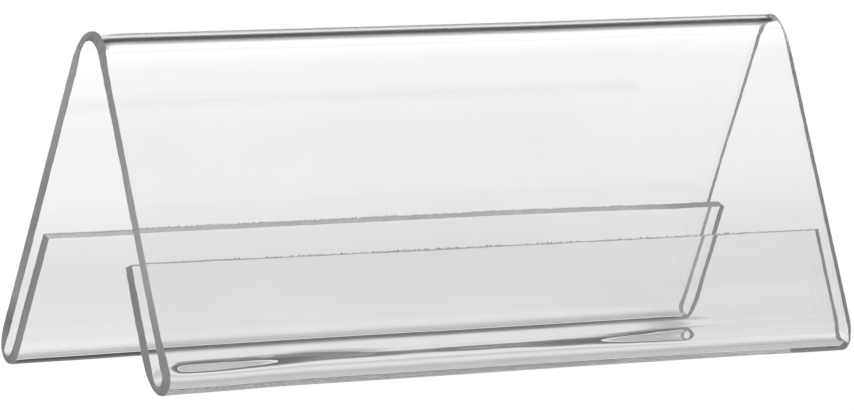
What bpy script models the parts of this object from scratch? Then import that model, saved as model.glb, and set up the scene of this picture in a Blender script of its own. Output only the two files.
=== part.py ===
"""Roof-shaped desk name plate of clear acrylic, in metres, +Z up, with the ridge along X and the front at -Y.

The real thing is one sheet, heat-bent on three parallel lines: a ridge on top, and under each sloping panel a foot
bend that turns inwards and up into a short flap. A card stands between the flap and its panel. The sheet is divided
here at the tangent lines of its bends, and each bend again at its middle, where the card's fold or edge lies, so that
no piece goes round a hollow. The pieces meet face to face. The origin is on the table, under the middle of the ridge.
"""

from math import asin, ceil, cos, pi, radians, sin, sqrt

import bmesh
import bpy
from mathutils import Vector

# Driving sizes
LENGTH = 0.150  # of the ridge, and of the card that the plate takes
SHEET = 0.0019  # thickness of the acrylic
LEAN = radians(22.3)  # of each panel, from the vertical
PANEL_RUN = 0.0562  # flat of a panel, from the ridge bend to the foot bend
RIDGE_INSIDE = 0.0033  # inside radius of the ridge bend
POCKET_GAP = 0.0026  # room for the card at the foot, between panel and flap
FRONT_FLAP_RUN = 0.0201  # flat of the front flap, from its bend to its cut edge
REAR_FLAP_RUN = 0.0223  # the same at the rear
FRONT_PINCH = radians(0.4)  # how far the front flap leans in to its panel
REAR_PINCH = radians(1.3)  # the same at the rear
REST_WIDTH = 0.0012  # flat under each foot, where it stands on the table
ARC_STEP = radians(5)  # widest angle that one facet of a bend covers

# Sizes that follow from them
RIDGE_OUTSIDE = RIDGE_INSIDE + SHEET
FOOT_INSIDE = POCKET_GAP / 2
FOOT_OUTSIDE = FOOT_INSIDE + SHEET
FOOT_CENTRE_HEIGHT = sqrt(FOOT_OUTSIDE**2 - (REST_WIDTH / 2) ** 2)
RIDGE_CENTRE_HEIGHT = FOOT_CENTRE_HEIGHT + PANEL_RUN * cos(LEAN) - (RIDGE_OUTSIDE - FOOT_OUTSIDE) * sin(LEAN)

# The section is drawn in (y, z)
RIDGE_CENTRE = Vector((0, RIDGE_CENTRE_HEIGHT))
TO_REAR = Vector((1, 0))
UPWARDS = Vector((0, 1))
FRONT, REAR = -1, 1

ACRYLIC_COLOUR = (0.93, 0.95, 0.95, 1)
ACRYLIC_ROUGHNESS = 0.03
ACRYLIC_ALPHA = 0.3
SHARP_ANGLE = radians(30)  # edges of the sheet, as against the facets of a bend
WELD = 0.000001


def panel_axes(side):
    """Directions of a panel in the section: out through its outer face, and down its slope."""
    out = Vector((side * cos(LEAN), sin(LEAN)))
    down = Vector((side * sin(LEAN), -cos(LEAN)))
    return out, down


def foot_centre(side):
    """Centre of a foot bend, whose outer face runs on from the outer face of its panel."""
    out, down = panel_axes(side)
    return RIDGE_CENTRE + (RIDGE_OUTSIDE - FOOT_OUTSIDE) * out + PANEL_RUN * down


def arc(centre, radius, first, second, start, end):
    """Points on a circle, by angle from the direction first towards the direction second."""
    steps = ceil(abs(end - start) / ARC_STEP)
    angles = [start + (end - start) * step / steps for step in range(steps + 1)]
    return [centre + radius * (cos(angle) * first + sin(angle) * second) for angle in angles]


def bend_outline(centre, inside, first, second, end):
    """A round bend of the sheet, from the direction first through an angle towards the direction second."""
    outline = arc(centre, inside + SHEET, first, second, 0, end)
    outline += arc(centre, inside, first, second, end, 0)
    return outline


def ridge_half_outline(side):
    """Half of the ridge bend, from its crown down to the panel on one side."""
    return bend_outline(RIDGE_CENTRE, RIDGE_INSIDE, UPWARDS, side * TO_REAR, pi / 2 - LEAN)


def panel_outline(side):
    """The flat of a panel, between the tangent lines of its two bends."""
    out, down = panel_axes(side)
    outer_top = RIDGE_CENTRE + RIDGE_OUTSIDE * out
    inner_top = RIDGE_CENTRE + RIDGE_INSIDE * out
    slope = PANEL_RUN * down
    return [outer_top, outer_top + slope, inner_top + slope, inner_top]


def foot_outer_outline(side):
    """First quarter turn of a foot bend, from the panel to the bottom of the pocket."""
    out, down = panel_axes(side)
    return bend_outline(foot_centre(side), FOOT_INSIDE, out, down, pi / 2)


def foot_inner_outline(side, pinch):
    """The rest of a foot bend, from the bottom of the pocket up to the flap, with a flat where it rests."""
    out, down = panel_axes(side)
    centre = foot_centre(side)
    turn = pi + pinch
    lowest = pi / 2 + LEAN
    half_rest = asin(REST_WIDTH / 2 / FOOT_OUTSIDE)
    outline = arc(centre, FOOT_OUTSIDE, out, down, pi / 2, lowest - half_rest)
    outline += arc(centre, FOOT_OUTSIDE, out, down, lowest + half_rest, turn)
    outline += arc(centre, FOOT_INSIDE, out, down, turn, pi / 2)
    return outline


def flap_outline(side, pinch, run):
    """The flat of a flap, from the end of its foot bend up to its cut edge."""
    out, down = panel_axes(side)
    turn = pi + pinch
    across = cos(turn) * out + sin(turn) * down
    along = -sin(turn) * out + cos(turn) * down
    outer_foot = foot_centre(side) + FOOT_OUTSIDE * across
    inner_foot = foot_centre(side) + FOOT_INSIDE * across
    return [outer_foot, outer_foot + run * along, inner_foot + run * along, inner_foot]


def clear_acrylic(name):
    """See-through plastic with a polished face."""
    material = bpy.data.materials.new(name)
    material.use_nodes = True
    shader = material.node_tree.nodes["Principled BSDF"]
    shader.inputs["Base Color"].default_value = ACRYLIC_COLOUR
    shader.inputs["Roughness"].default_value = ACRYLIC_ROUGHNESS
    shader.inputs["Metallic"].default_value = 0
    shader.inputs["Alpha"].default_value = ACRYLIC_ALPHA
    material.diffuse_color = ACRYLIC_COLOUR
    return material


def outline_curve(name, outline):
    """A closed outline on the YZ plane, drawn out over the length of the sheet along X."""
    curve = bpy.data.curves.new(name, "CURVE")
    curve.dimensions = "2D"
    curve.fill_mode = "BOTH"
    curve.extrude = LENGTH / 2
    spline = curve.splines.new("POLY")
    spline.points.add(len(outline) - 1)
    for point, (y, z) in zip(spline.points, outline):
        point.co = (y, z, 0, 1)
    spline.use_cyclic_u = True
    drawn = bpy.data.objects.new(name, curve)
    drawn.rotation_euler = (pi / 2, 0, pi / 2)
    return drawn


def sheet_piece(name, outline, collection, parent):
    """One stretch of the sheet as a closed mesh, smooth round its bend and sharp at its cut edges."""
    drawn = outline_curve(name + "_outline", outline)
    collection.objects.link(drawn)
    depsgraph = bpy.context.evaluated_depsgraph_get()
    mesh = bpy.data.meshes.new_from_object(drawn.evaluated_get(depsgraph))
    mesh.name = name

    welded = bmesh.new()
    welded.from_mesh(mesh)
    bmesh.ops.remove_doubles(welded, verts=welded.verts, dist=WELD)
    welded.to_mesh(mesh)
    welded.free()
    mesh.shade_smooth()
    mesh.set_sharp_from_angle(angle=SHARP_ANGLE)
    mesh.materials.clear()
    mesh.materials.append(clear_acrylic(name + "_acrylic"))

    piece = bpy.data.objects.new(name, mesh)
    piece.matrix_world = drawn.matrix_world
    piece.parent = parent
    collection.objects.link(piece)
    bpy.data.objects.remove(drawn)
    return piece


def main():
    for old in list(bpy.data.objects):
        bpy.data.objects.remove(old)
    collection = bpy.data.collections.new("desk_name_plate")
    bpy.context.scene.collection.children.link(collection)
    base = bpy.data.objects.new("plate_base", None)
    collection.objects.link(base)

    outlines = {}
    for side, word, pinch, flap_run in (
        (FRONT, "front", FRONT_PINCH, FRONT_FLAP_RUN),
        (REAR, "rear", REAR_PINCH, REAR_FLAP_RUN),
    ):
        outlines[word + "_ridge_bend"] = ridge_half_outline(side)
        outlines[word + "_panel"] = panel_outline(side)
        outlines[word + "_foot_outer_bend"] = foot_outer_outline(side)
        outlines[word + "_foot_inner_bend"] = foot_inner_outline(side, pinch)
        outlines[word + "_card_flap"] = flap_outline(side, pinch, flap_run)
    for name, outline in outlines.items():
        sheet_piece(name, outline, collection, base)


main()
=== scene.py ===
import math

import bpy
import numpy as np
from mathutils import Matrix


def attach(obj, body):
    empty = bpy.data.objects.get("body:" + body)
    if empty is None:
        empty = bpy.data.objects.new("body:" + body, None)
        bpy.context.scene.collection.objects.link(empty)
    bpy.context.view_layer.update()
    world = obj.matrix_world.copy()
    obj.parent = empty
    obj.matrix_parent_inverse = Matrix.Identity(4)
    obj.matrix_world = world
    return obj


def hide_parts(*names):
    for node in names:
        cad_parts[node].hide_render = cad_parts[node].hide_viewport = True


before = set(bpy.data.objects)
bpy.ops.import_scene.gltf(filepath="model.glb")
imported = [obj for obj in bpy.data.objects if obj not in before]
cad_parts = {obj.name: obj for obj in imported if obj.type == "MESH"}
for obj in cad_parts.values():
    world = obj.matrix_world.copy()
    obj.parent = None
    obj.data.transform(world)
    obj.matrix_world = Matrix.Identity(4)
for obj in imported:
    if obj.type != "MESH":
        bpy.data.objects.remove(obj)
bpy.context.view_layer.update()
scene = bpy.context.scene
print("frame loaded:", len(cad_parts), "CAD nodes")

# The sheet, in metres and degrees. Its section follows the CAD solids.
sheetPlan = {
    "length": 0.150,
    "thickness": 0.0019,
    "lean": 22.3,             # of each panel, from the vertical
    "ridgeAxisHeight": 0.054381,
    "ridgeRadius": 0.0052,    # outside, of the CAD's round bend
    "restSink": 0.00006,      # what the table has flattened under each foot
    "rowsFine": 36,           # rows of points near each cut end
    "rowsMiddle": 50,
    "fineReach": 0.020,
    "packing": 1.7,           # how much closer rows and points lie towards a cut end or a bend
    "ridgePoints": 39,        # points of half the section, stretch by stretch
    "panelPoints": 56,
    "footPoints": 75,
    "flapPoints": 31,
    "panelPacking": 0.85,     # how much closer the panel's points lie towards its two bends
    "stationBlur": 0.0030,    # stations along the ridge are blended over this way
    "blurLeast": 0.0003,      # less of it near the cut ends: this at the end itself
    "blurGrowth": 0.4,        # and so much more for each metre away from it
    "blurSteps": 21,
    "endReach": 0.0024,       # how far a shift of a cut end reaches into the sheet
    "sharpAngle": 38,         # edges with a sharper angle stay sharp
}

# Ridge bend. Softness 0 is an even bend, 1 one that fades out at both ends. The rise is in millimetres, by
# millimetres from the left end.
ridgePlan = {
    "softness": -0.08,
    "thinning": 0.00018, "endThinning": 0.00012, "thinReach": 0.0016,
    "lip": (0.0005, 0.00006), "lipReach": 0.0020,    # rise at the left and the right cut end
    "rise": ((0, 0), (95, 0), (115, 0.1), (141, 0.2), (150, 0.2)),
}

# Foot bends. Stations along the ridge begin with millimetres from the left end. Lift is the height of the foot above
# the table and flapTop that of the flap's tip, both in millimetres. Bend gives softness and skew, and where the heated
# sheet grows thin: from and full on the panel's side, full and to on the flap's, and by how much, in millimetres.
# Stations of the cut ends give a place on the section (0 crown, 1 end of the ridge bend, 2 start of the foot bend,
# 3 its end, 4 the flap's tip) and the shift of the outer or the inner face there, in millimetres along the ridge.
footPlans = {
    "front": {
        "side": -1, "pocket": 0.0026, "pinch": 0.4,
        "lift": ((0, 0.02), (2, 0.12), (8, 0.145), (14, 0.18), (19, 0.26), (24, 0.32), (32, 0.32), (40, 0.29),
                 (50, 0.27), (92, 0.26), (103, 0.225), (116, 0.2), (129, 0.18), (136, 0.075), (147, 0), (150, 0)),
        "flapTop": ((0, 21.12), (60, 20.92), (150, 20.8)),
        "bend": (
            (0, 0.795, -0.319, 6.82, 1.43, 1.465, 5.82, 0.03),
            (0.8, 0.795, -0.319, 6.82, 1.43, 1.465, 5.82, 0.06),
            (2.1, 0.795, -0.319, 6.82, 1.43, 1.465, 5.82, 0.15),
            (3.2, 0.795, -0.319, 6.82, 1.43, 1.465, 5.82, 0.205),
            (4.2, 0.795, -0.319, 6.82, 1.43, 1.465, 5.82, 0.22),
            (9.5, 0.795, -0.319, 6.82, 1.43, 1.465, 5.82, 0.225),
            (12.1, 0.795, -0.319, 6.82, 1.43, 1.465, 5.82, 0.222),
            (14.8, 0.795, -0.319, 6.82, 1.43, 1.465, 5.82, 0.21),
            (17.4, 0.795, -0.319, 6.82, 1.43, 1.465, 5.82, 0.203),
            (20.1, 0.795, -0.319, 6.82, 1.43, 1.465, 5.82, 0.196),
            (22.3, 0.795, -0.319, 6.82, 1.43, 1.465, 5.82, 0.188),
            (24.5, 0.795, -0.319, 6.82, 1.43, 1.465, 5.82, 0.18),
            (26.3, 0.791, -0.315, 6.78, 1.451, 1.533, 5.915, 0.172),
            (28.2, 0.777, -0.301, 6.655, 1.518, 1.749, 6.215, 0.159),
            (30.2, 0.768, -0.292, 6.569, 1.563, 1.896, 6.42, 0.15),
            (32.4, 0.763, -0.287, 6.523, 1.587, 1.976, 6.531, 0.143),
            (35.1, 0.76, -0.283, 6.49, 1.605, 2.033, 6.61, 0.14),
            (38.6, 0.76, -0.283, 6.49, 1.605, 2.033, 6.61, 0.137),
            (43, 0.763, -0.287, 6.523, 1.587, 1.976, 6.531, 0.135),
            (46.5, 0.775, -0.299, 6.635, 1.528, 1.783, 6.262, 0.134),
            (50.1, 0.781, -0.305, 6.688, 1.5, 1.692, 6.136, 0.133),
            (54.5, 0.781, -0.305, 6.688, 1.5, 1.692, 6.136, 0.13),
            (58.5, 0.777, -0.301, 6.655, 1.518, 1.749, 6.215, 0.13),
            (66.8, 0.781, -0.305, 6.688, 1.5, 1.692, 6.136, 0.135),
            (75.2, 0.781, -0.305, 6.688, 1.5, 1.692, 6.136, 0.131),
            (77.9, 0.781, -0.305, 6.688, 1.5, 1.692, 6.136, 0.134),
            (80.5, 0.791, -0.315, 6.787, 1.447, 1.522, 5.899, 0.145),
            (83.8, 0.795, -0.319, 6.82, 1.43, 1.465, 5.82, 0.152),
            (93.6, 0.795, -0.319, 6.82, 1.43, 1.465, 5.82, 0.156),
            (96.4, 0.795, -0.319, 6.82, 1.43, 1.465, 5.82, 0.17),
            (99.2, 0.795, -0.319, 6.82, 1.43, 1.465, 5.82, 0.183),
            (104.8, 0.784, -0.308, 6.721, 1.482, 1.635, 6.057, 0.19),
            (111.4, 0.777, -0.301, 6.655, 1.518, 1.749, 6.215, 0.2),
            (150, 0.777, -0.301, 6.655, 1.518, 1.749, 6.215, 0.21),
        ),
        "endThinning": 0.00022, "endFrom": 0.0036, "endFull": 0.0008, "thinReach": 0.0006,
        "leftOuter": ((0, 0.68), (0.3, 0.6), (0.6, 0.42), (0.85, 0.42), (1, 0.27), (1.045, 0.03), (1.13, -0.11),
                      (1.2, -0.08), (1.5, -0.15), (1.6, -0.22), (1.9, -0.2), (2, 0.2), (2.1, 0.3), (2.5, 0.48),
                      (3, -0.29), (3.6, -0.34), (3.75, -0.22), (4, -0.18)),
        "leftInner": ((0, -0.15), (0.3, -0.13), (1, -0.15), (1.02, -0.09), (1.3, -0.08), (1.6, -0.22), (2, -0.24),
                      (2.1, -0.1), (2.5, -0.25), (2.8, -0.19), (3.6, -0.19), (4, -0.13)),
        "rightOuter": ((0, 0.2), (0.25, -0.08), (0.5, -0.26), (0.75, -0.29), (1, -0.09), (1.02, 0.1), (1.045, 0.26),
                       (1.07, 0.31), (1.18, 0.34), (1.3, 0.23), (1.75, 0.2), (2, 0.11), (2.2, -0.2), (2.75, -0.08),
                       (3, 0.43), (3.2, 0.49), (3.5, 0.46), (4, 0.56)),
        "rightInner": ((0, -0.6), (0.5, 0.3), (1, 0.4), (1.1, 0.41), (1.2, 0.34), (1.9, 0.18),
                       (2, 0.1), (2.5, 0.4), (2.75, 0.35), (3, 0.45), (3.2, 0.33), (3.75, 0.35), (4, 0.41)),
    },
    "rear": {
        "side": 1, "pocket": 0.0026, "pinch": 1.3,
        "lift": ((0, 0), (14, 0), (23, 0.06), (30, 0.1), (60, 0.12), (85, 0.08), (95, 0), (150, 0)),
        "flapTop": ((0, 23.57), (40, 23.5), (101, 23.45), (114, 23.4), (137, 23.1), (150, 23.1)),
        "bend": ((0, 0.92, -0.15, 3.4, 0.6, 0.6, 3.67, 0.13), (150, 0.92, -0.15, 3.4, 0.6, 0.6, 3.67, 0.13)),
        "endThinning": 0.00025, "endFrom": 0.0036, "endFull": 0.0008, "thinReach": 0.0016,
        "leftOuter": ((0, 0.68), (0.85, 0.45), (1, 0.29), (1.04, 0.01), (2, -0.25), (2.25, -0.06), (2.5, 0.01),
                      (2.8, -0.33), (3, -0.33), (3.5, -0.08), (3.75, 0.12), (4, 0.18)),
        "leftInner": ((0, -0.15), (0.85, -0.04), (1, -0.08), (1.045, -0.03), (1.07, 0.08), (1.2, 0), (1.6, -0.01),
                      (1.75, -0.1), (2, -0.14), (2.35, -0.55), (2.5, -0.63), (3, -0.39), (3.2, -0.37), (4, 0.23)),
        "rightOuter": ((0, 0.2), (0.3, -0.32), (0.6, -0.52), (1, -0.17), (1.08, 0.06), (1.2, 0.04), (1.45, -0.11),
                       (1.8, -0.22), (2.15, -0.59), (2.25, -0.99), (2.5, -1.35), (3, -0.58), (3.2, -0.62),
                       (3.75, -0.29), (4, -0.22)),
        "rightInner": ((0, -0.6), (0.3, -0.4), (0.8, -0.1), (1.02, -0.12), (1.3, -0.25), (1.45, -0.44),
                       (1.5, -0.38), (1.8, -0.28), (2, -0.49), (2.2, -0.58), (2.3, -0.71), (2.5, -1.11),
                       (2.75, -1.03), (3, -0.74), (3.5, -0.48), (3.75, -0.45), (4, -0.33)),
    },
}

# Unevenness of the saw cut, and finer bites and burrs along the flaps' tips, between the rows of points.
cutPlan = {
    "chip": 0.00011, "wave": 0.00005, "knotEvery": 6, "seed": 11,
    "between": 5,            # more points on a tip's edge, between two rows
    "outerBite": 0.00003, "innerBite": 0.00028, "biteSeed": 23,
    "least": 0.1,            # smallest bite, as a share of the largest
    "wideStep": 0.0022,      # rows closer than this have smaller bites
    "brink": 0.8,            # share of the thickness where the bites begin
}


def lengthRows(plan):
    # Positions along the ridge: even steps, packed closer towards the two cut ends.
    half = plan["length"] / 2
    near = plan["fineReach"] * np.linspace(0, 1, plan["rowsFine"]) ** plan["packing"]
    middle = np.linspace(-half + plan["fineReach"], half - plan["fineReach"], plan["rowsMiddle"])
    return np.concatenate([-half + near[:-1], middle, (half - near[:-1])[::-1]])


def ease(q):
    # Smooth step from 0 to 1: q * q * (3 - 2 q), held outside.
    q = np.clip(q, 0, 1)
    return q * q * (3 - 2 * q)


def fromEnds(x, plan, reach):
    # Fall-off from the two cut ends: exp(-distance / reach), for the left end and for the right one.
    half = plan["length"] / 2
    return np.exp(-(x + half) / reach), np.exp(-(half - x) / reach)


def alongRidge(x, plan, stations):
    # Values between stations in millimetres along the ridge: straight lines, averaged over a short way.
    place, *values = np.array(stations, float).T
    gap = plan["length"] / 2 - np.abs(x)
    spread = np.linspace(-1, 1, plan["blurSteps"])
    shifts = spread[:, None] * np.minimum(plan["stationBlur"], plan["blurLeast"] + plan["blurGrowth"] * gap)
    weight = 1 + np.cos(np.pi * spread)
    way = (x + plan["length"] / 2 + shifts) * 1000
    return np.array([weight @ np.interp(way, place, value) / weight.sum() for value in values])


def bendShare(v, softness, skew=0):
    # Share of a bend's angle that is turned after the share v of its arc, with w = 2 pi v:
    # (w - softness * sin w - skew * (1 - cos w)) / 2 pi. More skew moves the tightest place towards the end.
    w = 2 * np.pi * v
    return (w - softness * np.sin(w) - skew * (1 - np.cos(w))) / (2 * np.pi)


def walk(heading, v):
    # Way travelled in (out, up) for a heading below the horizontal: trapezoid sums of (cos, -sin) over v.
    step = np.diff(v, axis=0)
    way = []
    for part in (np.cos(heading), -np.sin(heading)):
        sums = np.cumsum(step * (part[1:] + part[:-1]) / 2, axis=0)
        way.append(np.concatenate([np.zeros_like(sums[:1]), sums]))
    return way


def ridgeLip(x, plan, ridge):
    # Rise of the ridge near its cut ends: a ripple exp(-e) * (cos e - sin e), with e the distance over the reach.
    half = plan["length"] / 2
    rise = np.zeros_like(x)
    for gap, height in zip((x + half, half - x), ridge["lip"]):
        e = gap / ridge["lipReach"]
        rise += height * np.exp(-e) * (np.cos(e) - np.sin(e))
    return rise


def endPull(x, plan, own, place, face):
    # Shift along the ridge of one face: straight lines between the stations of each cut end, by the fall-off from it.
    left, right = fromEnds(x, plan, plan["endReach"])
    shift = 0
    for name, share in (("left" + face, left), ("right" + face, right)):
        at, value = np.array(own[name], float).T
        shift = shift + np.interp(place, at, value) * share / 1000
    return shift


def halfSection(plan, ridgeOwn, own, x):
    # Middle line of the sheet from the crown of the ridge down one side: half the ridge bend, the flat panel,
    # the foot bend and the flat flap, for every position along the ridge. With it go the heading, the heat of the
    # bends, the thinning of the inner face, and the shifts of both faces along the ridge at the cut ends.
    lean = math.radians(plan["lean"])
    turn = math.pi / 2 - lean
    pinch = math.radians(own["pinch"])
    sheet = plan["thickness"]
    offset = plan["ridgeRadius"] - sheet / 2
    rows = np.ones_like(x)[None, :]

    # ridge bend, scaled so that it runs into the panel's line
    v = np.linspace(0.5, 1, plan["ridgePoints"])[:, None] * rows
    ridgePlace = 2 * v - 1
    ridgeHead = 2 * turn * (bendShare(v, ridgeOwn["softness"]) - 0.5)
    outWay, upWay = walk(ridgeHead, v)
    rise = ridgeLip(x, plan, ridgeOwn) + alongRidge(x, plan, ridgeOwn["rise"])[0] / 1000
    crown = plan["ridgeAxisHeight"] + offset + rise
    reach = offset / math.sin(lean) + plan["ridgeAxisHeight"] - crown
    width = reach / (outWay[-1] / math.tan(lean) + upWay[-1])
    ridge = (width * outWay, crown + width * upWay)
    ridgeHeat = (1 - np.cos(2 * np.pi * v)) / 2
    ridgeThin = ridgeHeat * (ridgeOwn["thinning"] + ridgeOwn["endThinning"]
                             * fromEnds(x, plan, ridgeOwn["thinReach"])[0])

    # foot bend, as wide as the pocket asks for, and slid along the panel until it stands at its lift
    v = np.linspace(0, 1, plan["footPoints"])[:, None] * rows
    softness, skew, *thinWays = alongRidge(x, plan, own["bend"])
    thinFrom, thinFull, backFull, backTo, amount = np.array(thinWays) / 1000
    footHead = turn + (math.pi + pinch) * bendShare(v, softness, skew)
    outWay, upWay = walk(footHead, v)
    across = -(outWay[-1] * math.cos(lean) + upWay[-1] * math.sin(lean))
    width = (own["pocket"] + sheet) / across
    lowest = (width * upWay + sheet / 2 * np.cos(footHead)).min(axis=0)
    startUp = alongRidge(x, plan, own["lift"])[0] / 1000 - lowest - plan["restSink"]
    slide = (plan["ridgeAxisHeight"] + offset * math.sin(lean) - startUp) / math.cos(lean)
    startOut = offset * math.cos(lean) + slide * math.sin(lean)
    foot = (startOut + width * outWay, startUp + width * upWay)
    footHeat = (1 - np.cos(2 * np.pi * v)) / 2

    # panel and flap, straight between and after the bends
    u = np.linspace(0, 1, plan["panelPoints"])[1:-1, None]
    t = bendShare(u, plan["panelPacking"])
    panel = [a[-1] * (1 - t) + b[0] * t for a, b in zip(ridge, foot)]
    panelRun = np.hypot(foot[0][0] - ridge[0][-1], foot[1][0] - ridge[1][-1])
    flapHead = turn + math.pi + pinch
    flapTop = alongRidge(x, plan, own["flapTop"])[0] / 1000
    flapRun = (flapTop - foot[1][-1]) / -math.sin(flapHead)
    f = np.linspace(0, 1, plan["flapPoints"])[1:, None] ** plan["packing"]
    flap = [foot[0][-1] + f * flapRun * math.cos(flapHead), foot[1][-1] - f * flapRun * math.sin(flapHead)]

    # way from the bottom of the bend: less than nothing on the panel's side, more on the flap's
    fromBottom = np.concatenate([-width / 2 - (1 - t) * panelRun, (v - 0.5) * width, width / 2 + f * flapRun])
    left, right = fromEnds(x, plan, own["thinReach"])
    atEnd = np.maximum(left, right)
    start = thinFrom + (own["endFrom"] - thinFrom) * atEnd
    full = thinFull + (own["endFull"] - thinFull) * atEnd
    footThin = (amount + own["endThinning"] * atEnd) * ease((start + fromBottom) / (start - full))
    footThin *= ease((backTo - fromBottom) / (backTo - backFull))

    line = [np.concatenate(parts) for parts in zip(ridge, panel, foot, flap)]
    heading = np.concatenate([ridgeHead, turn + 0 * panel[0], footHead, flapHead + 0 * flap[0]])
    heat = np.concatenate([ridgeHeat, 0 * panel[0], footHeat, 0 * flap[0]])
    thin = np.concatenate([ridgeThin, footThin])
    place = np.concatenate([ridgePlace, 1 + t * rows, 2 + v, 3 + f * rows])
    pulls = [endPull(x, plan, own, place, face) for face in ("Outer", "Inner")]
    return [line[0] * own["side"], line[1], heading * own["side"], heat, thin] + pulls


def wholeSection(plan, ridge, feet, x):
    # The two half sections joined at the crown, from the front flap's cut edge to the rear flap's.
    halves = [halfSection(plan, ridge, feet[name], x) for name in ("front", "rear")]
    return [np.concatenate([a[:0:-1], b]) for a, b in zip(*halves)]


def sawnWave(rng, count, cut):
    # Unevenness of a saw cut: small chips at every point, and a slow wave, straight between random knots.
    knots = rng.uniform(0, cut["wave"], count // cut["knotEvery"] + 2)
    wave = np.interp(np.arange(count) / cut["knotEvery"], np.arange(len(knots)), knots)
    return wave + rng.uniform(0, cut["chip"], count)


def sheetFaces(plan, cut, section, x):
    # Outer and inner face: the middle line moved half the thickness along (sin heading, cos heading), both ways.
    # The inner face gives up the thinning, and both are shifted along the ridge near the cut ends.
    midY, midZ, heading, _, thin, outerPull, innerPull = section
    rng = np.random.default_rng(cut["seed"])
    half = plan["thickness"] / 2
    faces = []
    for reach, pull in ((half, outerPull), (thin - half, innerPull)):
        y = midY + reach * np.sin(heading)
        z = np.maximum(midZ + reach * np.cos(heading), 0)
        across = x + pull
        across[:, 0] += sawnWave(rng, len(y), cut)
        across[:, -1] -= sawnWave(rng, len(y), cut)
        faces.append(np.stack([across, y, z], axis=-1))
    for tip, way in ((0, -1), (-1, 1)):
        along = way * np.stack([0 * x, np.cos(heading[tip]), -np.sin(heading[tip])], axis=-1)
        for face in faces:
            face[tip] -= along * sawnWave(rng, len(x), cut)[:, None]
    return faces


def between(edge, count):
    # Values between those of an edge: every step divided evenly, by step and place in the step.
    share = np.arange(1, count + 1)[:, None] / (count + 1)
    return edge[:-1, None] + share * (edge[1:] - edge[:-1])[:, None]


def bittenEdge(rng, face, tip, bite, cut):
    # Points between those of a tip's edge, by turns drawn back towards the flap and standing out as a burr, each by a
    # random depth, less of both where steps are short.
    edge, behind = face[tip], face[1 if tip == 0 else -2]
    back = behind - edge
    back /= np.linalg.norm(back, axis=1)[:, None]
    step = np.linalg.norm(np.diff(edge, axis=0), axis=1)[:, None]
    turns = 1 - 2 * (np.arange(cut["between"]) % 2)
    depth = bite * turns * rng.uniform(cut["least"], 1, (len(step), cut["between"]))
    depth *= np.minimum(step / cut["wideStep"], 1)
    return between(edge, cut["between"]) + depth[..., None] * between(back, cut["between"])


def threaded(edge, fine):
    # Values of an edge with those between them, in order.
    steps = np.concatenate([edge[:-1, None], fine], axis=1)
    return np.concatenate([steps.reshape((-1,) + edge.shape[1:]), edge[-1:]])


def quadStrip(a, b):
    # Quads between two rows of point numbers: (a0, a1, b1, b0) and so on.
    return np.stack([a[:-1], a[1:], b[1:], b[:-1]], axis=-1).reshape(-1, 4)


def sheetCells(outer, inner, cut):
    # Points and polygons of the closed sheet: quads over both faces, the cut ends and the tips. The last strip of each
    # flap has more points along its cut edge, so each of its cells is one larger polygon. A brink runs along each tip,
    # a share of the way from the outer edge to the inner one.
    count, rows = outer.shape[:2]
    out = np.arange(count * rows).reshape(count, rows)
    inn = out + count * rows
    a, b = out[1:-1], inn[1:-1]
    skins = np.concatenate([
        np.stack([a[:-1, :-1], a[:-1, 1:], a[1:, 1:], a[1:, :-1]], axis=-1).reshape(-1, 4),
        np.stack([b[:-1, :-1], b[1:, :-1], b[1:, 1:], b[:-1, 1:]], axis=-1).reshape(-1, 4),
    ])
    ends = np.concatenate([quadStrip(a[:, 0], b[:, 0]), quadStrip(b[:, -1], a[:, -1])])

    rng = np.random.default_rng(cut["biteSeed"])
    fine = 2 * count * rows + np.arange((rows - 1) * cut["between"]).reshape(rows - 1, -1)
    bitten, borders, edges, brinks = [], [], [], []
    for tip, behind in ((0, 1), (-1, -2)):
        for face, number, bite in ((outer, out, "outerBite"), (inner, inn, "innerBite")):
            bitten.append(bittenEdge(rng, face, tip, cut[bite], cut).reshape(-1, 3))
            edge, rest = number[tip], number[behind]
            back = np.stack([edge[1:], rest[1:], rest[:-1]], axis=-1)
            border = np.concatenate([edge[:-1, None], fine, back], axis=1)
            borders.append(border if (tip == 0) == (face is outer) else border[:, ::-1])
            edges.append(threaded(edge, fine))
            fine = fine + fine.size
        outerEdge, innerEdge = (threaded(face[tip], between(face[tip], cut["between"])) for face in (outer, inner))
        brinks.append(outerEdge * (1 - cut["brink"]) + innerEdge * cut["brink"])
    borders = np.concatenate(borders)
    front = fine.min() + np.arange(len(edges[0]))
    rear = front + len(front)
    tips = np.concatenate([quadStrip(front, edges[0]), quadStrip(edges[1], front),
                           quadStrip(edges[2], rear), quadStrip(rear, edges[3])])
    # where a cut end meets a tip, its last cell has the brink's end as a fifth corner
    meets = np.array([
        (out[0, 0], out[1, 0], inn[1, 0], inn[0, 0], front[0]),
        (out[-2, 0], out[-1, 0], rear[0], inn[-1, 0], inn[-2, 0]),
        (inn[0, -1], inn[1, -1], out[1, -1], out[0, -1], front[-1]),
        (inn[-2, -1], inn[-1, -1], rear[-1], out[-1, -1], out[-2, -1]),
    ])

    groups = (skins, ends, tips, borders, meets)
    lengths = [len(group) for group in groups]
    cells = {
        "points": np.concatenate([outer.reshape(-1, 3), inner.reshape(-1, 3)] + bitten + brinks),
        "corners": np.concatenate([group.ravel() for group in groups]),
        "sizes": np.repeat([group.shape[1] for group in groups], lengths),
        "slots": np.repeat([0, 1, 2, 0, 1], lengths),    # clear sheet, sawn end, sawn tip
        "across": np.repeat([0, 1, 0, 1, 0, 1, cut["brink"]],
                            [count * rows] * 2 + [len(bitten[0])] * 4 + [2 * len(front)]),
    }
    return cells


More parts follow.
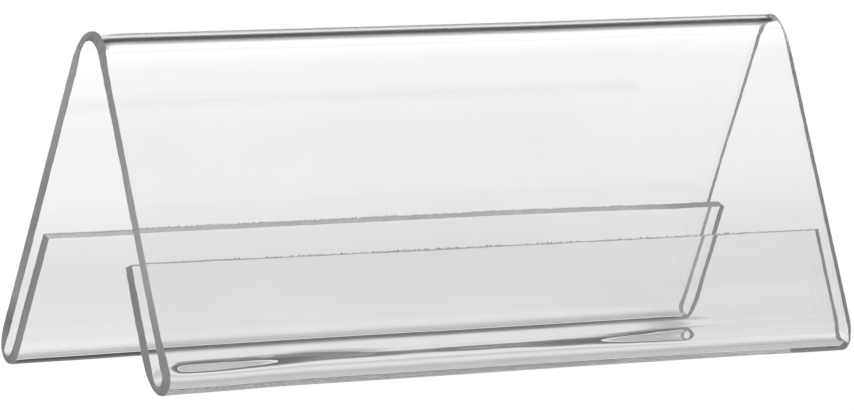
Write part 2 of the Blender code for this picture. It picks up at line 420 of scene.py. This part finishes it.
def flatMap(plan, cut, section, x):
    # Own map of every point: way along the section, the sum of its steps, and position along the ridge. The inner
    # face is set off by the thickness. The points of the tips follow, in the order of the cells.
    steps = np.hypot(np.diff(section[0], axis=0), np.diff(section[1], axis=0))
    way = np.concatenate([np.zeros((1, len(x))), np.cumsum(steps, axis=0)])
    outerFlat = np.stack([way, np.broadcast_to(x, way.shape)], axis=-1)
    faces = (outerFlat, outerFlat + [0, plan["thickness"]])
    flat = [face.reshape(-1, 2) for face in faces]
    flat += [between(face[tip], cut["between"]).reshape(-1, 2) for tip in (0, -1) for face in faces]
    for tip in (0, -1):
        edge = threaded(outerFlat[tip], between(outerFlat[tip], cut["between"]))
        flat.append(edge + [0, cut["brink"] * plan["thickness"]])
    return np.concatenate(flat), float(way[-1].mean())


def buildSheet(plan, ridge, feet, cut):
    # The sheet as one closed mesh, with its own map, the heat of its bends, and the place across its thickness.
    x = lengthRows(plan)
    section = wholeSection(plan, ridge, feet, x)
    outer, inner = sheetFaces(plan, cut, section, x)
    cells = sheetCells(outer, inner, cut)
    points, corners, sizes = cells["points"], cells["corners"], cells["sizes"]
    mesh = bpy.data.meshes.new("acrylic_sheet")
    mesh.vertices.add(len(points))
    mesh.vertices.foreach_set("co", points.astype(np.float32).ravel())
    mesh.loops.add(len(corners))
    mesh.loops.foreach_set("vertex_index", corners.astype(np.int32))
    mesh.polygons.add(len(sizes))
    mesh.polygons.foreach_set("loop_start", (np.cumsum(sizes) - sizes).astype(np.int32))
    mesh.polygons.foreach_set("material_index", cells["slots"].astype(np.int32))
    mesh.update(calc_edges=True)
    mesh.validate()
    mesh.shade_smooth()
    mesh.set_sharp_from_angle(angle=math.radians(plan["sharpAngle"]))

    flat, wayLong = flatMap(plan, cut, section, x)
    layer = mesh.uv_layers.new(name="sheetMap")
    layer.uv.foreach_set("vector", flat[corners].astype(np.float32).ravel())
    heat = np.zeros(len(points))    # the points of the tips stay cold
    heat[:2 * section[3].size] = np.tile(section[3].ravel(), 2)
    for name, values in (("bendHeat", heat), ("acrossSheet", cells["across"])):    # across: 0 outer face, 1 inner one
        attribute = mesh.attributes.new(name, "FLOAT", "POINT")
        attribute.data.foreach_set("value", values.astype(np.float32))
    print("sheet built:", len(points), "points,", np.sum(sizes - 2), "triangles")
    return mesh, wayLong


def addNode(tree, kind, **settings):
    # New node of a kind, with its own settings.
    node = tree.nodes.new(kind)
    for name, value in settings.items():
        setattr(node, name, value)
    return node


def link(tree, source, target):
    tree.links.new(source, target)


def setStops(ramp, stops):
    # Grey levels of a ramp, straight between the stops.
    while len(ramp.elements) > 1:
        ramp.elements.remove(ramp.elements[-1])
    ramp.elements[0].position = stops[0][0]
    ramp.elements[0].color = (stops[0][1],) * 3 + (1,)
    for place, level in stops[1:]:
        ramp.elements.new(place).color = (level,) * 3 + (1,)


def softStep(tree, value, low, high):
    # Smooth step of a value, from 0 at the low end to 1 at the high one.
    node = addNode(tree, "ShaderNodeMapRange", interpolation_type="SMOOTHSTEP")
    node.inputs["From Min"].default_value = low
    node.inputs["From Max"].default_value = high
    link(tree, value, node.inputs["Value"])
    return node.outputs["Result"]


sawPlan = {
    "pitch": 2600, "slant": 0.9, "streakDetail": 2,    # streaks per metre, and how far they lean over the thickness
    "crumbScale": 5200, "crumbDetail": 1,
}


def sawMarkGroup(plan):
    # Saw marks: slanting streaks across the sheet and fine crumbs, as a tone round 1 and a height for a bump.
    group = bpy.data.node_groups.new("sawMarks", "ShaderNodeTree")
    for name, value in (("Streaks", 0.1), ("Crumbs", 0.1)):
        group.interface.new_socket(name, in_out="INPUT", socket_type="NodeSocketFloat").default_value = value
    for name in ("Tone", "Height"):
        group.interface.new_socket(name, in_out="OUTPUT", socket_type="NodeSocketFloat")
    given = addNode(group, "NodeGroupInput")
    result = addNode(group, "NodeGroupOutput")
    sheetMap = addNode(group, "ShaderNodeUVMap", uv_map="sheetMap")
    split = addNode(group, "ShaderNodeSeparateXYZ")
    across = addNode(group, "ShaderNodeAttribute", attribute_name="acrossSheet")
    way = addNode(group, "ShaderNodeMath", operation="ADD")
    pitch = addNode(group, "ShaderNodeMath", operation="MULTIPLY")
    pitch.inputs[1].default_value = plan["pitch"]
    slant = addNode(group, "ShaderNodeMath", operation="MULTIPLY_ADD")
    slant.inputs[1].default_value = plan["slant"]
    rake = addNode(group, "ShaderNodeCombineXYZ")
    streaks = addNode(group, "ShaderNodeTexNoise")
    streaks.inputs["Scale"].default_value = 1
    streaks.inputs["Detail"].default_value = plan["streakDetail"]
    coords = addNode(group, "ShaderNodeTexCoord")
    crumbs = addNode(group, "ShaderNodeTexNoise")
    crumbs.inputs["Scale"].default_value = plan["crumbScale"]
    crumbs.inputs["Detail"].default_value = plan["crumbDetail"]
    link(group, sheetMap.outputs[0], split.inputs[0])
    link(group, split.outputs["X"], way.inputs[0])
    link(group, split.outputs["Y"], way.inputs[1])
    link(group, way.outputs[0], pitch.inputs[0])
    link(group, across.outputs["Fac"], slant.inputs[0])
    link(group, pitch.outputs[0], slant.inputs[2])
    link(group, slant.outputs[0], rake.inputs["X"])
    link(group, across.outputs["Fac"], rake.inputs["Y"])
    link(group, rake.outputs[0], streaks.inputs["Vector"])
    link(group, coords.outputs["Object"], crumbs.inputs["Vector"])
    total = None
    for noise, strength in ((streaks, "Streaks"), (crumbs, "Crumbs")):
        centre = addNode(group, "ShaderNodeMath", operation="SUBTRACT")
        centre.inputs[1].default_value = 0.5
        part = addNode(group, "ShaderNodeMath", operation="MULTIPLY_ADD")
        link(group, noise.outputs["Fac"], centre.inputs[0])
        link(group, centre.outputs[0], part.inputs[0])
        link(group, given.outputs[strength], part.inputs[1])
        if total is None:
            part.inputs[2].default_value = 1
        else:
            link(group, total.outputs[0], part.inputs[2])
        total = part
    link(group, total.outputs[0], result.inputs["Tone"])
    link(group, streaks.outputs["Fac"], result.inputs["Height"])
    return group


acrylicFinish = {
    "clear": 0.988, "dull": 0.980, "ior": 1.49, "haze": 0.004,
    "cloudScale": 70, "cloudDetail": 4, "cloudLow": 0.35, "cloudHigh": 0.65,
}


def acrylicMaterial(finish):
    # Clear sheet: hardly tinted, with a faint uneven haze that grows where the sheet was heated for a bend.
    material = bpy.data.materials.new("clearAcrylic")
    material.use_nodes = True
    tree = material.node_tree
    shader = tree.nodes["Principled BSDF"]
    shader.inputs["IOR"].default_value = finish["ior"]
    shader.inputs["Transmission Weight"].default_value = 1
    coords = addNode(tree, "ShaderNodeTexCoord")
    clouds = addNode(tree, "ShaderNodeTexNoise")
    clouds.inputs["Scale"].default_value = finish["cloudScale"]
    clouds.inputs["Detail"].default_value = finish["cloudDetail"]
    tint = addNode(tree, "ShaderNodeMapRange")
    tint.inputs["From Min"].default_value = finish["cloudLow"]
    tint.inputs["From Max"].default_value = finish["cloudHigh"]
    tint.inputs["To Min"].default_value = finish["clear"]
    tint.inputs["To Max"].default_value = finish["dull"]
    heat = addNode(tree, "ShaderNodeAttribute", attribute_name="bendHeat")
    share = addNode(tree, "ShaderNodeMath", operation="MULTIPLY")
    haze = addNode(tree, "ShaderNodeMath", operation="MULTIPLY")
    haze.inputs[1].default_value = finish["haze"]
    link(tree, coords.outputs["Object"], clouds.inputs["Vector"])
    link(tree, clouds.outputs["Fac"], tint.inputs["Value"])
    link(tree, tint.outputs["Result"], shader.inputs["Base Color"])
    link(tree, clouds.outputs["Fac"], share.inputs[0])
    link(tree, heat.outputs["Fac"], share.inputs[1])
    link(tree, share.outputs[0], haze.inputs[0])
    link(tree, haze.outputs[0], shader.inputs["Roughness"])
    return material


# Cut faces, by the share of the way along the section, from the front flap's tip to the rear flap's. Their levels are
# painted light and shade, grey levels set to how bright each part of the cut shows, on top of the saw's own tone: the
# levels of the left part give way to those of the right part at the dividing place along the ridge. Glow is the light
# that comes through the matt cut, the emission strength a painted glow that stands in for the light led through the
# sheet, and burr how much the ragged inner edge darkens.
endFinishAndPaintedLight = {
    # painted light and shade along the cut ends, such as the bright band round the crown of the right end
    "left": ((0.0, 0.34), (0.03, 0.31), (0.06, 0.36), (0.11, 0.37), (0.14, 0.38), (0.17, 0.40), (0.19, 0.44),
             (0.24, 0.54), (0.29, 0.51), (0.33, 0.52), (0.37, 0.45), (0.41, 0.40), (0.446, 0.40), (0.47, 0.40),
             (0.50, 0.38), (0.53, 0.47), (0.565, 0.485), (0.61, 0.46), (0.67, 0.37), (0.73, 0.38), (0.79, 0.46),
             (0.82, 0.24), (0.85, 0.37), (0.88, 0.39), (1.0, 0.40)),
    "right": ((0.0, 0.42), (0.10, 0.46), (0.17, 0.46), (0.30, 0.38), (0.44, 0.40), (0.455, 0.9), (0.47, 1.0),
              (0.495, 1.0), (0.51, 0.5), (0.53, 0.35), (0.58, 0.38), (0.65, 0.44), (0.80, 0.44), (0.85, 0.42),
              (1.0, 0.40)),
    "divide": 0.0, "blend": 0.02,
    "streaks": 0.30, "crumbs": 0.20, "roughness": 0.62, "glow": 0.35, "bump": 0.25, "burr": 0.12, "paintedGlow": 0,
}
tipFinishAndPaintedLight = {
    # painted light and shade along the tips: lighter towards the rear tip, and the rear tip darker beyond the dividing
    # place near the right end
    "left": ((0.0, 0.68), (1.0, 1.0)),
    "right": ((0.0, 0.68), (1.0, 0.82)),
    "divide": 0.0615, "blend": 0.0015,
    "streaks": 0.06, "crumbs": 0.08, "roughness": 0.55, "glow": 0.9, "bump": 0.1, "burr": 0.40, "paintedGlow": 0.09,
}
burrPlan = {"wander": 0.7, "from": 1.0, "full": 1.25}    # across the thickness, plus the wander of the saw marks
bumpDepth = 0.0001


def cutMaterial(name, finish, marks, wayLong):
    # Matt cut: the painted light and shade level by the share of the way, times the saw's tone, times 1 less the burr,
    # with a painted glow that grows with the share of the way.
    material = bpy.data.materials.new(name)
    material.use_nodes = True
    tree = material.node_tree
    shader = tree.nodes["Principled BSDF"]
    shader.inputs["Roughness"].default_value = finish["roughness"]
    shader.inputs["Transmission Weight"].default_value = finish["glow"]
    # painted glow: the cut shines by itself, standing in for the light led through the sheet
    shader.inputs["Emission Strength"].default_value = finish["paintedGlow"]
    sheetMap = addNode(tree, "ShaderNodeUVMap", uv_map="sheetMap")
    split = addNode(tree, "ShaderNodeSeparateXYZ")
    share = addNode(tree, "ShaderNodeMath", operation="DIVIDE")
    share.inputs[1].default_value = wayLong
    link(tree, sheetMap.outputs[0], split.inputs[0])
    link(tree, split.outputs["X"], share.inputs[0])
    # the painted glow grows with the share of the way, so the rear tip glows most
    link(tree, share.outputs[0], shader.inputs["Emission Color"])    # more towards the rear
    coords = addNode(tree, "ShaderNodeTexCoord")
    place = addNode(tree, "ShaderNodeSeparateXYZ")
    link(tree, coords.outputs["Object"], place.inputs[0])
    # painted light and shade: the left and the right levels, blended at the dividing place along the ridge
    levels = addNode(tree, "ShaderNodeMix", data_type="RGBA")
    low, high = finish["divide"] - finish["blend"], finish["divide"] + finish["blend"]
    link(tree, softStep(tree, place.outputs["X"], low, high), levels.inputs["Factor"])
    for part, socket in (("left", "A"), ("right", "B")):
        ramp = addNode(tree, "ShaderNodeValToRGB")
        setStops(ramp.color_ramp, finish[part])
        link(tree, share.outputs[0], ramp.inputs[0])
        link(tree, ramp.outputs["Color"], levels.inputs[socket])
    saw = addNode(tree, "ShaderNodeGroup", node_tree=marks)
    saw.inputs["Streaks"].default_value = finish["streaks"]
    saw.inputs["Crumbs"].default_value = finish["crumbs"]
    # ragged burr along the inner edge of the cut, more of it towards the rear
    across = addNode(tree, "ShaderNodeAttribute", attribute_name="acrossSheet")
    ragged = addNode(tree, "ShaderNodeMath", operation="MULTIPLY_ADD")
    ragged.inputs[1].default_value = burrPlan["wander"]
    link(tree, saw.outputs["Height"], ragged.inputs[0])
    link(tree, across.outputs["Fac"], ragged.inputs[2])
    edge = addNode(tree, "ShaderNodeMath", operation="MULTIPLY")
    burr = addNode(tree, "ShaderNodeMath", operation="MULTIPLY_ADD")
    burr.inputs[1].default_value = -finish["burr"]
    burr.inputs[2].default_value = 1
    link(tree, softStep(tree, ragged.outputs[0], burrPlan["from"], burrPlan["full"]), edge.inputs[0])
    link(tree, share.outputs[0], edge.inputs[1])
    link(tree, edge.outputs[0], burr.inputs[0])
    both = addNode(tree, "ShaderNodeMath", operation="MULTIPLY")
    link(tree, saw.outputs["Tone"], both.inputs[0])
    link(tree, burr.outputs[0], both.inputs[1])
    # base colour: the painted light and shade levels times the saw's tone and the burr
    tone = addNode(tree, "ShaderNodeVectorMath", operation="SCALE")
    link(tree, levels.outputs["Result"], tone.inputs[0])
    link(tree, both.outputs[0], tone.inputs["Scale"])
    link(tree, tone.outputs[0], shader.inputs["Base Color"])
    bump = addNode(tree, "ShaderNodeBump")
    bump.inputs["Strength"].default_value = finish["bump"]
    bump.inputs["Distance"].default_value = bumpDepth
    link(tree, saw.outputs["Height"], bump.inputs["Height"])
    link(tree, bump.outputs[0], shader.inputs["Normal"])
    return material


sheetMesh, wayLong = buildSheet(sheetPlan, ridgePlan, footPlans, cutPlan)
marks = sawMarkGroup(sawPlan)
sheetMesh.materials.append(acrylicMaterial(acrylicFinish))
sheetMesh.materials.append(cutMaterial("sawnEnd", endFinishAndPaintedLight, marks, wayLong))
sheetMesh.materials.append(cutMaterial("sawnTip", tipFinishAndPaintedLight, marks, wayLong))
sheet = bpy.data.objects.new("acrylic_sheet", sheetMesh)
scene.collection.objects.link(sheet)
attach(sheet, "root")
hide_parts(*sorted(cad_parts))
print("sheet replaces", len(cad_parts), "CAD nodes")

# Floor: white where the camera sees it. Where the sheet shows or mirrors it, it has the levels below, by metres behind
# the ridge: painted light and shade, brighter in front and far behind, darker under the sheet. Painted shadows lie on
# top of them, each along a part of the ridge, and the whole has a painted falloff of light to the right.
floorPlan = {
    "half": 12.0, "white": 1.02, "fold": 0.05,
    # painted light and shade on the floor, by metres behind the ridge: brighter in front and far behind, darker under
    # the sheet
    "paintedLightAndShade": (
        (-0.060, 1.10), (-0.036, 1.06), (-0.030, 0.95), (-0.024, 0.86), (-0.016, 0.80), (0.0, 0.79), (0.018, 0.82),
        (0.030, 0.84), (0.040, 0.86), (0.050, 0.87), (0.057, 0.855), (0.065, 0.82), (0.074, 0.785), (0.090, 0.785),
        (0.108, 0.79), (0.130, 0.785), (0.162, 0.82), (0.200, 0.86), (0.250, 0.905), (0.320, 0.925), (0.390, 0.95),
        (0.460, 0.975), (0.522, 0.99), (0.540, 1.005), (0.552, 1.025), (0.563, 1.06), (0.575, 1.09), (0.600, 1.12),
        (0.700, 1.15), (1.0, 1.2),
    ),
    # painted falloff of light towards the right, along x + slant * y
    "paintedFalloff": {"slant": -0.735, "low": -0.09, "high": 0.09, "from": 1.01, "to": 0.98},
    # painted shadows on the floor: contact shadows along both feet, a shaded strip under the ridge, a patch by the rear
    # foot's right end, and shade with a little light beyond the right end
    "paintedShades": (
        {"stops": (
            (-0.040, 1.0), (-0.033, 0.89), (-0.030, 0.73), (-0.0275, 0.55), (-0.0255, 0.55), (-0.024, 0.66),
            (-0.023, 0.67), (-0.022, 0.64), (-0.020, 0.62), (-0.018, 0.73), (-0.016, 0.83), (-0.014, 0.89),
            (-0.012, 0.94), (-0.008, 1.0), (0.0208, 1.0), (0.0218, 0.78), (0.023, 0.57), (0.024, 0.56), (0.025, 0.60),
            (0.026, 0.71), (0.028, 0.84), (0.030, 0.89), (0.032, 0.94), (0.035, 0.97), (0.040, 1.0)),
         "from": -0.0745, "to": 0.0745, "fadeIn": 0.008, "fadeOut": 0.008},
        {"stops": (
            (-0.012, 1.0), (-0.008, 0.94), (-0.004, 0.85), (0.0, 0.745), (0.005, 0.745), (0.009, 0.96), (0.012, 1.0)),
         "from": -0.090, "to": 0.050, "fadeIn": 0.004, "fadeOut": 0.010},
        {"stops": (
            (0.012, 1.0), (0.0155, 0.86), (0.0175, 0.66), (0.019, 0.62), (0.0215, 0.66), (0.023, 0.90), (0.0235, 1.0)),
         "from": 0.067, "to": 0.0695, "fadeIn": 0.009, "fadeOut": 0.004},
        {"stops": (
            (-0.025, 1.0), (-0.012, 1.06), (-0.001, 1.06), (0.006, 1.06), (0.011, 1.02), (0.017, 0.95), (0.023, 0.90),
            (0.042, 0.905), (0.063, 0.94), (0.083, 0.97), (0.113, 1.0)),
         "from": 0.085, "to": 2.0, "fadeIn": 0.012, "fadeOut": 1.0},
    ),
}


def foldedWay(tree, along, fold):
    # The way y behind the ridge, folded into 0 to 1 by 0.5 + 0.5 y / (|y| + fold), so that near stops lie apart.
    size = addNode(tree, "ShaderNodeMath", operation="ABSOLUTE")
    below = addNode(tree, "ShaderNodeMath", operation="ADD")
    below.inputs[1].default_value = fold
    ratio = addNode(tree, "ShaderNodeMath", operation="DIVIDE")
    half = addNode(tree, "ShaderNodeMath", operation="MULTIPLY_ADD")
    half.inputs[1].default_value = 0.5
    half.inputs[2].default_value = 0.5
    link(tree, along, size.inputs[0])
    link(tree, size.outputs[0], below.inputs[0])
    link(tree, along, ratio.inputs[0])
    link(tree, below.outputs[0], ratio.inputs[1])
    link(tree, ratio.outputs[0], half.inputs[0])
    return half.outputs[0]


def buildFloor(plan):
    # Floor square at the table's height. Its level is the painted light and shade by the way behind the ridge, times
    # each painted shadow where it lies, times the painted falloff of light.
    h = plan["half"]
    fold = plan["fold"]
    mesh = bpy.data.meshes.new("floor")
    mesh.from_pydata([(-h, -h, 0), (h, -h, 0), (h, h, 0), (-h, h, 0)], [], [(0, 1, 2, 3)])
    material = bpy.data.materials.new("floorWhiteAndPaintedLight")
    material.use_nodes = True
    tree = material.node_tree
    tree.nodes.clear()
    coords = addNode(tree, "ShaderNodeTexCoord")
    split = addNode(tree, "ShaderNodeSeparateXYZ")
    link(tree, coords.outputs["Object"], split.inputs[0])
    way = foldedWay(tree, split.outputs["Y"], fold)

    def levelRamp(stops):
        ramp = addNode(tree, "ShaderNodeValToRGB")
        setStops(ramp.color_ramp, [(0.5 + 0.5 * y / (abs(y) + fold), level) for y, level in stops])
        link(tree, way, ramp.inputs[0])
        return ramp.outputs["Color"]

    level = levelRamp(plan["paintedLightAndShade"])
    # each painted shadow darkens the level within its stretch along the ridge
    for own in plan["paintedShades"]:
        begin = softStep(tree, split.outputs["X"], own["from"] - own["fadeIn"], own["from"])
        end = softStep(tree, split.outputs["X"], own["to"], own["to"] + own["fadeOut"])
        within = addNode(tree, "ShaderNodeMath", operation="SUBTRACT")
        link(tree, begin, within.inputs[0])
        link(tree, end, within.inputs[1])
        lift = addNode(tree, "ShaderNodeMix", data_type="RGBA")
        lift.inputs["A"].default_value = (1, 1, 1, 1)
        shaded = addNode(tree, "ShaderNodeVectorMath", operation="MULTIPLY")
        link(tree, within.outputs[0], lift.inputs["Factor"])
        link(tree, levelRamp(own["stops"]), lift.inputs["B"])
        link(tree, level, shaded.inputs[0])
        link(tree, lift.outputs["Result"], shaded.inputs[1])
        level = shaded.outputs[0]
    # painted falloff of light along the line x + slant * y
    paintedFalloff = plan["paintedFalloff"]
    line = addNode(tree, "ShaderNodeMath", operation="MULTIPLY_ADD")
    line.inputs[1].default_value = paintedFalloff["slant"]
    link(tree, split.outputs["Y"], line.inputs[0])
    link(tree, split.outputs["X"], line.inputs[2])
    dim = addNode(tree, "ShaderNodeMapRange")
    for name, value in (("From Min", "low"), ("From Max", "high"), ("To Min", "from"), ("To Max", "to")):
        dim.inputs[name].default_value = paintedFalloff[value]
    link(tree, line.outputs[0], dim.inputs["Value"])
    dimmed = addNode(tree, "ShaderNodeVectorMath", operation="SCALE")
    link(tree, level, dimmed.inputs[0])
    link(tree, dim.outputs["Result"], dimmed.inputs["Scale"])
    # the camera sees the floor plain white; rays through or off the sheet see the painted light and shade
    path = addNode(tree, "ShaderNodeLightPath")
    shade = addNode(tree, "ShaderNodeEmission")
    white = addNode(tree, "ShaderNodeEmission")
    white.inputs["Strength"].default_value = plan["white"]
    mix = addNode(tree, "ShaderNodeMixShader")
    out = addNode(tree, "ShaderNodeOutputMaterial")
    link(tree, dimmed.outputs[0], shade.inputs["Color"])
    link(tree, path.outputs["Is Camera Ray"], mix.inputs[0])
    link(tree, shade.outputs[0], mix.inputs[1])
    link(tree, white.outputs[0], mix.inputs[2])
    link(tree, mix.outputs[0], out.inputs["Surface"])
    mesh.materials.append(material)
    floor = bpy.data.objects.new("floor", mesh)
    scene.collection.objects.link(floor)


# Studio arch: soft light along the ridge, by the angle round it in degrees, from behind over the top to the front.
archPlan = {
    "stops": (
        (0, 1.0), (4, 1.06), (10, 1.22), (14, 1.10), (18, 0.82), (22, 0.52), (26, 0.36), (30, 0.24), (34, 0.09),
        (39, 0.022), (46, 0.02), (54, 0.042), (60, 0.095), (66, 0.18), (71, 0.26), (76, 0.45), (82, 0.67), (88, 0.80),
        (100, 0.72), (115, 0.74), (122, 0.70), (127, 0.60), (131, 0.50), (140, 0.50), (150, 0.75), (160, 0.95),
        (180, 1.05),
    ),
}


def buildWorld(plan):
    # Light from all round, by the angle of (height, way behind) round the ridge.
    world = bpy.data.worlds.new("studioArch")
    scene.world = world
    world.use_nodes = True
    tree = world.node_tree
    tree.nodes.clear()
    coords = addNode(tree, "ShaderNodeTexCoord")
    split = addNode(tree, "ShaderNodeSeparateXYZ")
    angle = addNode(tree, "ShaderNodeMath", operation="ARCTAN2")
    share = addNode(tree, "ShaderNodeMath", operation="DIVIDE")
    share.inputs[1].default_value = math.pi
    ramp = addNode(tree, "ShaderNodeValToRGB")
    setStops(ramp.color_ramp, [(degrees / 180, level) for degrees, level in plan["stops"]])
    back = addNode(tree, "ShaderNodeBackground")
    out = addNode(tree, "ShaderNodeOutputWorld")
    link(tree, coords.outputs["Generated"], split.inputs[0])
    link(tree, split.outputs["Z"], angle.inputs[0])
    link(tree, split.outputs["Y"], angle.inputs[1])
    link(tree, angle.outputs[0], share.inputs[0])
    link(tree, share.outputs[0], ramp.inputs[0])
    link(tree, ramp.outputs["Color"], back.inputs["Color"])
    link(tree, back.outputs[0], out.inputs["Surface"])


# Camera, as fitted to the edges in the photo.
cameraPlan = {
    "place": (-0.682747, -0.925451, 0.144789),
    "yaw": 36.316, "pitch": -5.838, "roll": 1.4865,  # degrees
    "lens": 273.22, "sensor": 36.0,
}


def buildCamera(plan):
    # Camera axes from yaw off the way behind the ridge, pitch off the level, and roll round the line of sight.
    yaw, pitch, roll = (math.radians(plan[name]) for name in ("yaw", "pitch", "roll"))
    ahead = np.array((math.sin(yaw) * math.cos(pitch), math.cos(yaw) * math.cos(pitch), math.sin(pitch)))
    right = np.array((math.cos(yaw), -math.sin(yaw), 0))
    up = np.cross(right, ahead)
    axes = np.eye(4)
    axes[:3, 0] = math.cos(roll) * right + math.sin(roll) * up
    axes[:3, 1] = -math.sin(roll) * right + math.cos(roll) * up
    axes[:3, 2] = -ahead
    axes[:3, 3] = plan["place"]
    data = bpy.data.cameras.new("camera")
    data.sensor_fit = "HORIZONTAL"
    data.sensor_width = plan["sensor"]
    data.lens = plan["lens"]
    camera = bpy.data.objects.new("camera", data)
    scene.collection.objects.link(camera)
    camera.matrix_world = Matrix(axes)
    scene.camera = camera


buildFloor(floorPlan)
buildWorld(archPlan)
buildCamera(cameraPlan)
scene.view_settings.view_transform = "Standard"
scene.cycles.max_bounces = 32
scene.cycles.transmission_bounces = 32
scene.cycles.glossy_bounces = 16
print("floor, light and camera set")
